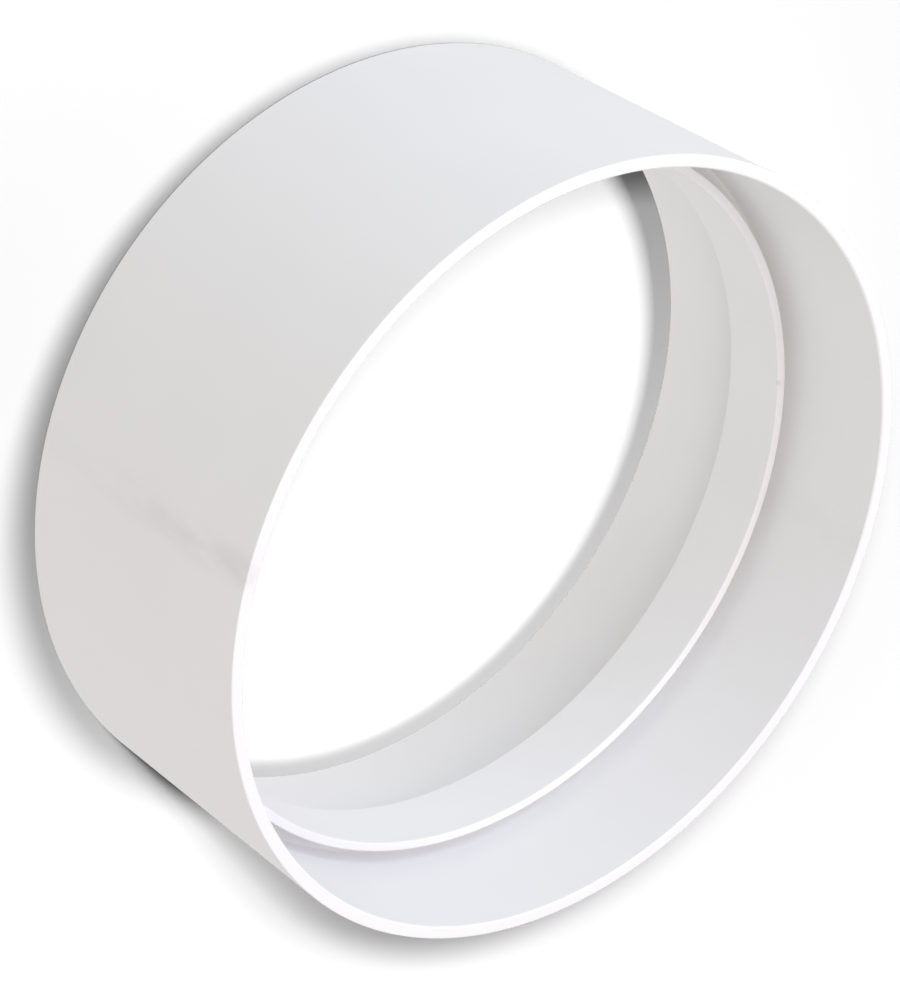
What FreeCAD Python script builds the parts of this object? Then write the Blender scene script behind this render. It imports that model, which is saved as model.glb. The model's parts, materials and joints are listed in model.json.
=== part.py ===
import FreeCAD, Part

import math
import os

# Round duct connector, one white plastic moulding, in millimetres.
# It stands on one rim with its axis along +Z and its origin at the bottom rim's centre.

# Driving dimensions of the sleeve, which goes over the ends of both ducts
duct_outer_diameter = 150.0
duct_radial_clearance = 0.5
sleeve_wall = 2.5
connector_length = 62.0
rim_outer_rounding = 0.25
mouth_lead_in = 0.3

# Driving dimensions of the inner lip and of the web that carries it at mid-length
lip_length = 14.0
lip_wall = 1.85
lip_edge_chamfer = 0.25
web_thickness = 2.0

# Driving dimensions of the two slots between lip and sleeve, which take the ducts' thin walls
slot_mouth_width = 3.2
slot_draft_deg = 1.5

# Radii that follow from them, outwards and inwards from the duct's outside
socket_radius = duct_outer_diameter / 2 + duct_radial_clearance
sleeve_radius = socket_radius + sleeve_wall
lip_outer_radius = socket_radius - slot_mouth_width
lip_bore_radius = lip_outer_radius - lip_wall

# Heights above the bottom rim, and how far each slot wall leans in on its way down to the web
middle = connector_length / 2
rims = (0.0, connector_length)
lip_edges = (middle - lip_length / 2, middle + lip_length / 2)
slot_floors = (middle - web_thickness / 2, middle + web_thickness / 2)
slot_depth = lip_edges[1] - slot_floors[1]
slot_lean = slot_depth * math.tan(math.radians(slot_draft_deg))


def wall_section(end):
    """Corners of the section from the outer rim inwards to the lip's bore, at end 0 (bottom) or 1 (top)."""
    return [
        (sleeve_radius, rims[end]),
        (socket_radius, rims[end]),
        (socket_radius, lip_edges[end]),
        (socket_radius - slot_lean, slot_floors[end]),
        (lip_outer_radius + slot_lean, slot_floors[end]),
        (lip_outer_radius, lip_edges[end]),
        (lip_bore_radius, lip_edges[end]),
    ]


def turned_section():
    """Sleeve, web and lip as one turn of their section about the axis, with sharp edges."""
    corners = wall_section(1) + wall_section(0)[::-1]
    points = [FreeCAD.Vector(radius, 0, height) for radius, height in corners]
    section = Part.Face(Part.makePolygon(points + points[:1]))
    return section.revolve(FreeCAD.Vector(0, 0, 0), FreeCAD.Vector(0, 0, 1), 360)


def edge_circles(solid, radius, heights):
    """The solid's circular edges of one radius at the given heights."""
    same = 1e-4
    found = []
    for edge in solid.Edges:
        if not isinstance(edge.Curve, Part.Circle):
            continue
        right_radius = abs(edge.Curve.Radius - radius) < same
        right_height = any(abs(edge.Curve.Center.z - height) < same for height in heights)
        if right_radius and right_height:
            found.append(edge)
    return found


def connector_body():
    """The turned section with rounded outer rims, lead-ins in both mouths and broken lip edges."""
    body = turned_section()
    body = body.makeFillet(rim_outer_rounding, edge_circles(body, sleeve_radius, rims))
    body = body.makeChamfer(mouth_lead_in, edge_circles(body, socket_radius, rims))
    body = body.makeChamfer(lip_edge_chamfer, edge_circles(body, lip_outer_radius, lip_edges))
    return body.makeChamfer(lip_edge_chamfer, edge_circles(body, lip_bore_radius, lip_edges))


os.makedirs("parts", exist_ok=True)
connector_body().exportStep("parts/connector_body.step")
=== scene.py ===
import json
import math

import bpy
from mathutils import Matrix, Vector


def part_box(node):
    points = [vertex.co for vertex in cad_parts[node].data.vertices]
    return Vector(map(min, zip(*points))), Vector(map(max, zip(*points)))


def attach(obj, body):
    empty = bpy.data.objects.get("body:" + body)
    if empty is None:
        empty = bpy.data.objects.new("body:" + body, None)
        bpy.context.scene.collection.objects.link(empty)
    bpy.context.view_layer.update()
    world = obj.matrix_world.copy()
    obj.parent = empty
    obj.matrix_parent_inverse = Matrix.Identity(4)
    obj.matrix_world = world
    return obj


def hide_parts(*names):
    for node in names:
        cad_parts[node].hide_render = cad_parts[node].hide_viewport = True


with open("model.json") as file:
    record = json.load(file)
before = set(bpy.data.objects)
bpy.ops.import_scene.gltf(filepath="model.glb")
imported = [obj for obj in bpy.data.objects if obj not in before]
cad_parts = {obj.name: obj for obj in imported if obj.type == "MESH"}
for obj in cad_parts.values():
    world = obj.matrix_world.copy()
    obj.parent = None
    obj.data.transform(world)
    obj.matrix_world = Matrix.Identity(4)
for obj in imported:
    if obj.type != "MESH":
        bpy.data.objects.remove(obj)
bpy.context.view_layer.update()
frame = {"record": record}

# Connector body: a sleeve that goes over the ends of two round ducts, with a short inner lip at mid-length.
# It is white semi-gloss plastic, injection moulded in one shot, so sleeve, web and lip share one skin.
# Nothing is fixed to it: each duct pushes into a socket until its wall stops in the slot behind the lip.
MM = 0.001
mounts = {mount["name"]: mount for mount in frame["record"]["mounts"]}
top_socket = mounts["top_socket"]
body_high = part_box("connector_body")[1]
sleeve_radius = body_high.x
rim_height = body_high.z / 2
socket_radius = top_socket["dims"]["r_mm"] * MM
lip_edge_height = top_socket["pos_m"][2] - top_socket["dims"]["length_mm"] * MM / 2 - rim_height
slot_mouth_width = 3.2 * MM
slot_lean = 0.16 * MM
slot_floor_height = 1.0 * MM
lip_wall = 1.85 * MM
lip_outer_radius = socket_radius - slot_mouth_width
lip_bore_radius = lip_outer_radius - lip_wall
rim_rounding = 0.25 * MM
lead_in = 0.3 * MM
lead_in_rounding = 0.15 * MM
slot_corner_rounding = 0.5 * MM
lip_edge_rounding = 0.3 * MM
turn_steps = 400
arc_steps = 5
run_margin = 0.2 * MM


def half_outline():
    """Corners above the mid-plane from the outer rim in to the lip's bore, as (point, rounding)."""
    return [
        (Vector((sleeve_radius, rim_height)), rim_rounding),
        (Vector((socket_radius + lead_in, rim_height)), lead_in_rounding),
        (Vector((socket_radius, rim_height - lead_in)), lead_in_rounding),
        (Vector((socket_radius, lip_edge_height)), slot_corner_rounding),
        (Vector((socket_radius - slot_lean, slot_floor_height)), slot_corner_rounding),
        (Vector((lip_outer_radius + slot_lean, slot_floor_height)), slot_corner_rounding),
        (Vector((lip_outer_radius, lip_edge_height)), lip_edge_rounding),
        (Vector((lip_bore_radius, lip_edge_height)), lip_edge_rounding),
    ]


def corner_arc(before, corner, after, rounding):
    """Points of the arc that rounds one corner of the outline."""
    to_before = (before - corner).normalized()
    to_after = (after - corner).normalized()
    half_angle = to_before.angle(to_after) / 2
    setback = rounding / math.tan(half_angle)
    centre = corner + (to_before + to_after).normalized() * (rounding / math.sin(half_angle))
    start = corner + to_before * setback - centre
    end = corner + to_after * setback - centre
    turn = start.angle_signed(end)
    points = []
    for step in range(arc_steps + 1):
        angle = -turn * step / arc_steps
        points.append(centre + Matrix.Rotation(angle, 2) @ start)
    return points


def run_points(start, end):
    """A point close to each end of a straight run between two arcs, so that the wall shades flat."""
    length = (end - start).length
    if length < 3 * run_margin:
        return []
    step_in = (end - start) * (run_margin / length)
    return [start + step_in, end - step_in]


def body_outline():
    """The whole closed section, upper half and mirrored lower half, as a ring of points."""
    upper = half_outline()
    lower = [(Vector((point.x, -point.y)), rounding) for point, rounding in reversed(upper)]
    corners = upper + lower
    arcs = []
    for index, (corner, rounding) in enumerate(corners):
        before = corners[index - 1][0]
        after = corners[(index + 1) % len(corners)][0]
        arcs.append(corner_arc(before, corner, after, rounding))
    points = []
    for index, arc in enumerate(arcs):
        following = arcs[(index + 1) % len(arcs)]
        points += arc + run_points(arc[-1], following[0])
    return points


def turned_mesh(name, outline):
    """The outline turned once about the axis, as a closed mesh of quads."""
    count = len(outline)
    vertices = []
    for step in range(turn_steps):
        angle = 2 * math.pi * step / turn_steps
        for point in outline:
            vertices.append((point.x * math.cos(angle), point.x * math.sin(angle), rim_height + point.y))
    faces = []
    for step in range(turn_steps):
        here = step * count
        there = ((step + 1) % turn_steps) * count
        for index in range(count):
            following = (index + 1) % count
            faces.append((here + index, here + following, there + following, there + index))
    mesh = bpy.data.meshes.new(name)
    mesh.from_pydata(vertices, [], faces)
    mesh.shade_smooth()
    return mesh


# A faint smudged dark streak is painted into the colour along one plane through the axis, in each half: a
# painted reflection of something dark, not a line in the plastic.
dark_reflection_angle = math.radians(-64.7)
dark_reflection_direction = (math.cos(dark_reflection_angle), math.sin(dark_reflection_angle), 0)
dark_reflection_normal = (-math.sin(dark_reflection_angle), math.cos(dark_reflection_angle), 0)
dark_reflection_half_width = 5.0 * MM
dark_reflection_core = 0.1 * dark_reflection_half_width
dark_reflection_wander = 1.6 * MM
dark_reflection_fade_bottom = 0.2 * rim_height
dark_reflection_fade_top = 1.8 * rim_height
dark_reflection_strength_bottom = 0.12
dark_reflection_strength_top = 0.58
dark_reflection_share_inside = 0.5
dark_reflection_share_far = 0.4
wander_scale = 60.0
streak_scale = 260.0
streak_stretch = (1.0, 1.0, 0.4)
streak_gap = 0.24
streak_full = 0.62
# One small rub mark sits on the inner edge of the lip.
rub_angle = math.radians(135.8)
rub_from_axis = lip_bore_radius + 0.15 * MM
rub_place = (
    rub_from_axis * math.cos(rub_angle),
    rub_from_axis * math.sin(rub_angle),
    rim_height + lip_edge_height,
)
rub_radius = 0.8 * MM
rub_core = 0.2 * rub_radius
rub_strength = 0.8
# Tone and gloss vary a little with the flow, and the skin is very finely rough.
clouding_scale = 38.0
clouding_low = 0.2
clouding_high = 0.8
tone_low = (0.873, 0.873, 0.873, 1)
tone_high = (0.889, 0.889, 0.889, 1)
# This darker tone is the rub mark's own colour and also the colour of the painted dark reflection streak.
rub_and_reflection_tone = (0.74, 0.735, 0.725, 1)
roughness_low = 0.29
roughness_high = 0.38
skin_scale = 1400.0
skin_strength = 0.05
skin_depth = 0.02 * MM
noise_detail = 2.0


def combined(nodes, links, operation, first, second):
    """The output of a Math node on two outputs."""
    node = nodes.new("ShaderNodeMath")
    node.operation = operation
    links.new(first, node.inputs[0])
    links.new(second, node.inputs[1])
    return node.outputs["Value"]


def measured(nodes, links, operation, place, other=None):
    """The value that a Vector Math node makes of a place, or of a place and a fixed vector."""
    node = nodes.new("ShaderNodeVectorMath")
    node.operation = operation
    links.new(place, node.inputs[0])
    if other is not None:
        node.inputs[1].default_value = other
    return node.outputs["Value"]


def ranged(nodes, links, value, low, high, from_low, to_high):
    """The output of a Map Range node that eases from one value at low to another at high."""
    node = nodes.new("ShaderNodeMapRange")
    node.interpolation_type = "SMOOTHSTEP"
    node.inputs["From Min"].default_value = low
    node.inputs["From Max"].default_value = high
    node.inputs["To Min"].default_value = from_low
    node.inputs["To Max"].default_value = to_high
    links.new(value, node.inputs["Value"])
    return node.outputs["Result"]


def noise(nodes, links, place, scale):
    """The output of a noise over the given coordinates."""
    node = nodes.new("ShaderNodeTexNoise")
    node.inputs["Scale"].default_value = scale
    node.inputs["Detail"].default_value = noise_detail
    links.new(place, node.inputs["Vector"])
    return node.outputs["Fac"]


def distance_from_reflection_plane(nodes, links, place):
    """How far a point is from the plane of the painted dark reflection streak, which wanders a little."""
    side = measured(nodes, links, "DOT_PRODUCT", place, dark_reflection_normal)
    wander = nodes.new("ShaderNodeMath")
    wander.operation = "MULTIPLY_ADD"
    wander.inputs[1].default_value = 2 * dark_reflection_wander
    wander.inputs[2].default_value = -dark_reflection_wander
    links.new(noise(nodes, links, place, wander_scale), wander.inputs[0])
    distance = nodes.new("ShaderNodeMath")
    distance.operation = "ABSOLUTE"
    links.new(combined(nodes, links, "ADD", side, wander.outputs["Value"]), distance.inputs[0])
    return distance.outputs["Value"]


def distance_from_axis(nodes, links, place):
    """How far a point is from the connector's axis."""
    level = nodes.new("ShaderNodeVectorMath")
    level.operation = "MULTIPLY"
    level.inputs[1].default_value = (1.0, 1.0, 0.0)
    links.new(place, level.inputs[0])
    return measured(nodes, links, "LENGTH", level.outputs["Vector"])


def painted_reflection_mask(nodes, links, place):
    """Where the painted dark reflection streak shows: streaks, fainter towards the bottom rim, inside and
    on the far side.
    """
    distance = distance_from_reflection_plane(nodes, links, place)
    line = ranged(nodes, links, distance, dark_reflection_core, dark_reflection_half_width, 1.0, 0.0)
    stretched = nodes.new("ShaderNodeMapping")
    stretched.inputs["Scale"].default_value = streak_stretch
    links.new(place, stretched.inputs["Vector"])
    patches = noise(nodes, links, stretched.outputs["Vector"], streak_scale)
    streaks = ranged(nodes, links, patches, streak_gap, streak_full, 0.0, 1.0)
    height = measured(nodes, links, "DOT_PRODUCT", place, (0.0, 0.0, 1.0))
    along = ranged(
        nodes, links, height, dark_reflection_fade_bottom, dark_reflection_fade_top, dark_reflection_strength_bottom, dark_reflection_strength_top
    )
    radius = distance_from_axis(nodes, links, place)
    outside = ranged(nodes, links, radius, socket_radius, sleeve_radius, dark_reflection_share_inside, 1.0)
    side = measured(nodes, links, "DOT_PRODUCT", place, dark_reflection_direction)
    near = ranged(nodes, links, side, -sleeve_radius, sleeve_radius, dark_reflection_share_far, 1.0)
    mask = line
    for factor in (streaks, along, outside, near):
        mask = combined(nodes, links, "MULTIPLY", mask, factor)
    return mask


def rub_mask(nodes, links, place):
    """Where the rub mark on the lip's edge shows."""
    distance = measured(nodes, links, "DISTANCE", place, rub_place)
    return ranged(nodes, links, distance, rub_core, rub_radius, rub_strength, 0.0)


def white_plastic():
    """White moulded plastic: faint clouding, a painted dark reflection streak in both halves, a rub mark, a
    fine skin and a soft gloss.
    """
    material = bpy.data.materials.new("white_plastic")
    material.use_nodes = True
    nodes = material.node_tree.nodes
    links = material.node_tree.links
    skin = nodes["Principled BSDF"]
    skin.inputs["IOR"].default_value = 1.5
    place = nodes.new("ShaderNodeTexCoord").outputs["Object"]
    clouding = noise(nodes, links, place, clouding_scale)
    tone = nodes.new("ShaderNodeValToRGB")
    tone.color_ramp.interpolation = "EASE"
    tone.color_ramp.elements[0].position = clouding_low
    tone.color_ramp.elements[0].color = tone_low
    tone.color_ramp.elements[1].position = clouding_high
    tone.color_ramp.elements[1].color = tone_high
    links.new(clouding, tone.inputs["Fac"])
    # The painted dark reflection streak and the real rub mark are both laid into the base colour here.
    rub_and_reflection_marks = combined(nodes, links, "MAXIMUM", painted_reflection_mask(nodes, links, place), rub_mask(nodes, links, place))
    marked = nodes.new("ShaderNodeMix")
    marked.data_type = "RGBA"
    marked.inputs["B"].default_value = rub_and_reflection_tone
    links.new(rub_and_reflection_marks, marked.inputs["Factor"])
    links.new(tone.outputs["Color"], marked.inputs["A"])
    links.new(marked.outputs["Result"], skin.inputs["Base Color"])
    gloss = ranged(nodes, links, clouding, 0.0, 1.0, roughness_low, roughness_high)
    links.new(gloss, skin.inputs["Roughness"])
    relief = nodes.new("ShaderNodeBump")
    relief.inputs["Strength"].default_value = skin_strength
    relief.inputs["Distance"].default_value = skin_depth
    links.new(noise(nodes, links, place, skin_scale), relief.inputs["Height"])
    links.new(relief.outputs["Normal"], skin.inputs["Normal"])
    return material


connector_mesh = turned_mesh("connector_body_moulding", body_outline())
connector_mesh.materials.append(white_plastic())
connector = bpy.data.objects.new("connector_body_moulding", connector_mesh)
bpy.context.scene.collection.objects.link(connector)
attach(connector, "root")
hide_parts("connector_body")

# Floor: a wide plain table top of pale matt acrylic, lit from below, without an edge in view. Its top sheet
# takes the shadow and lets through the light that the connector throws down or gets from below.
floor_half_width = 4.0
near_shade = 0.15
far_shade = 0.9
near_reach = 0.14
far_reach = 0.83
floor_corners = [(-1, -1), (1, -1), (1, 1), (-1, 1)]
floor_points = [(x * floor_half_width, y * floor_half_width, 0) for x, y in floor_corners]


def pale_acrylic():
    """Matt acrylic whose colour is painted paler further out, as painted light where fewer lamps reach."""
    material = bpy.data.materials.new("floor_acrylic")
    material.use_nodes = True
    nodes = material.node_tree.nodes
    links = material.node_tree.links
    coat = nodes["Principled BSDF"]
    coat.inputs["Roughness"].default_value = 0.9
    coat.inputs["Specular IOR Level"].default_value = 0.0
    reach = measured(nodes, links, "LENGTH", nodes.new("ShaderNodeTexCoord").outputs["Object"])
    shade = ranged(nodes, links, reach, near_reach, far_reach, near_shade, far_shade)
    links.new(shade, coat.inputs["Base Color"])
    return material


floor_mesh = bpy.data.meshes.new("floor")
floor_mesh.from_pydata(floor_points, [], [(0, 1, 2, 3)])
floor_mesh.materials.append(pale_acrylic())
floor = bpy.data.objects.new("floor", floor_mesh)
floor.visible_diffuse = False
floor.visible_glossy = False
floor.visible_shadow = False
bpy.context.scene.collection.objects.link(floor)

# Camera: it looks down on the standing connector from the photo's angle, rolled so that the open
# top faces the lower right of the picture.
camera_data = bpy.data.cameras.new("camera")
camera_data.lens = 126.07
camera = bpy.data.objects.new("camera", camera_data)
camera_elevation = math.radians(42.453)
camera_roll = math.radians(122.969)
camera_distance = 7.799 * sleeve_radius
aim = Vector((0.0504 * sleeve_radius, -0.4986 * sleeve_radius, 2 * rim_height))
back = Vector((0, -math.cos(camera_elevation), math.sin(camera_elevation)))
level_right = Vector((1, 0, 0))
level_up = back.cross(level_right)
right = level_right * math.cos(camera_roll) + level_up * math.sin(camera_roll)
up = back.cross(right)
camera.matrix_world = Matrix((
    (right.x, up.x, back.x, aim.x + back.x * camera_distance),
    (right.y, up.y, back.y, aim.y + back.y * camera_distance),
    (right.z, up.z, back.z, aim.z + back.z * camera_distance),
    (0, 0, 0, 1),
))
bpy.context.scene.collection.objects.link(camera)
bpy.context.scene.camera = camera

# Light: a white room and the glow of the table light every wall evenly, inside and out. A softbox high on
# one side and a cool fill below it round the form off, a warm fill lifts the other side, and four lamps
# that light the table alone, three of them spots, whiten it and give the connector a soft tight shadow.
room_glow = (0.66, 0.65, 0.666, 1)
table_glow = (0.766, 0.749, 0.729, 1)
glow_blend = 0.05
room = bpy.data.worlds.new("studio")
room.use_nodes = True
room_nodes = room.node_tree.nodes
room_links = room.node_tree.links
direction = room_nodes.new("ShaderNodeTexCoord")
height = room_nodes.new("ShaderNodeSeparateXYZ")
glow = room_nodes.new("ShaderNodeValToRGB")
glow.color_ramp.elements[0].position = 0.0
glow.color_ramp.elements[0].color = table_glow
glow.color_ramp.elements[1].position = glow_blend
glow.color_ramp.elements[1].color = room_glow
room_links.new(direction.outputs["Generated"], height.inputs["Vector"])
room_links.new(height.outputs["Z"], glow.inputs["Fac"])
room_links.new(glow.outputs["Color"], room_nodes["Background"].inputs["Color"])
bpy.context.scene.world = room
bpy.context.scene.view_settings.view_transform = "Standard"
# White walls pass light on many times, and without that the slot behind the lip comes out too dark.
bpy.context.scene.cycles.diffuse_bounces = 12


def from_foot(distance, elevation, azimuth):
    """A place at that distance from the connector's foot, by angles above the table and round the axis."""
    elevation = math.radians(elevation)
    azimuth = math.radians(azimuth)
    level = math.cos(elevation)
    return distance * Vector((level * math.cos(azimuth), level * math.sin(azimuth), math.sin(elevation)))


def lamp_at(name, kind, place, target, lit):
    """A lamp of the given kind that stands at a place, faces a target and lights one object."""
    lamp = bpy.data.objects.new(name, bpy.data.lights.new(name, kind))
    lamp.light_linking.receiver_collection = bpy.data.collections.new("lit_by_" + name)
    lamp.light_linking.receiver_collection.objects.link(lit)
    lamp.location = place
    lamp.rotation_mode = "QUATERNION"
    lamp.rotation_quaternion = (target - place).to_track_quat("-Z", "Y")
    bpy.context.scene.collection.objects.link(lamp)
    return lamp


def round_lamp(name, width, place, brightness, colour):
    """A round lamp on the connector; brightness is that of white paper held square to it at the foot."""
    lamp = lamp_at(name, "AREA", place, foot, connector)
    lamp.data.shape = "DISK"
    lamp.data.size = width
    lamp.data.color = colour
    lamp.data.energy = brightness * (math.pi * place.length) ** 2


def soft_spot(name, radius, place, target, spread, brightness):
    """A ball-shaped lamp on the table, whose light fades from its axis to the edge of its cone."""
    lamp = lamp_at(name, "SPOT", place, target, floor)
    lamp.data.shadow_soft_size = radius
    lamp.data.spot_size = 2 * math.radians(spread)
    lamp.data.spot_blend = 1.0
    lamp.data.energy = brightness * (2 * math.pi * place.length) ** 2


foot = Vector((0, 0, 0))
lens = camera.matrix_world.translation
form_lamp_width = 0.7
form_lamp_distance = 1.3
softbox_place = from_foot(form_lamp_distance, elevation=65, azimuth=180)
cool_place = from_foot(form_lamp_distance, elevation=30, azimuth=193)
warm_place = from_foot(form_lamp_distance, elevation=65, azimuth=315)
round_lamp("softbox", form_lamp_width, softbox_place, brightness=0.29, colour=(0.99, 0.88, 1.0))
round_lamp("cool_fill", form_lamp_width, cool_place, brightness=0.262, colour=(0.67, 0.835, 1.0))
round_lamp("warm_fill", form_lamp_width, warm_place, brightness=0.19, colour=(1.0, 0.93, 0.78))
overhead = from_foot(2.5, elevation=86, azimuth=180)
table_lamp = lamp_at("table_lamp", "SUN", overhead, foot, floor)
table_lamp.data.angle = math.radians(8)
table_lamp.data.energy = 0.39 * math.pi
near_table = Vector((-0.961, -1.172, 0))
soft_spot("near_spot", 0.175, overhead, near_table, spread=38.87, brightness=15.12)
across_table = Vector((4.803, 14.33, 0))
beside_lens = lens + 70.5 * MM * right + 25.7 * MM * up
soft_spot("lens_spot", 35 * MM, beside_lens, across_table, spread=53.87, brightness=10.16)
close_to_lens = lens + 14 * MM * right + 24.2 * MM * up
soft_spot("halo_spot", 25 * MM, close_to_lens, across_table, spread=53.87, brightness=8.77)
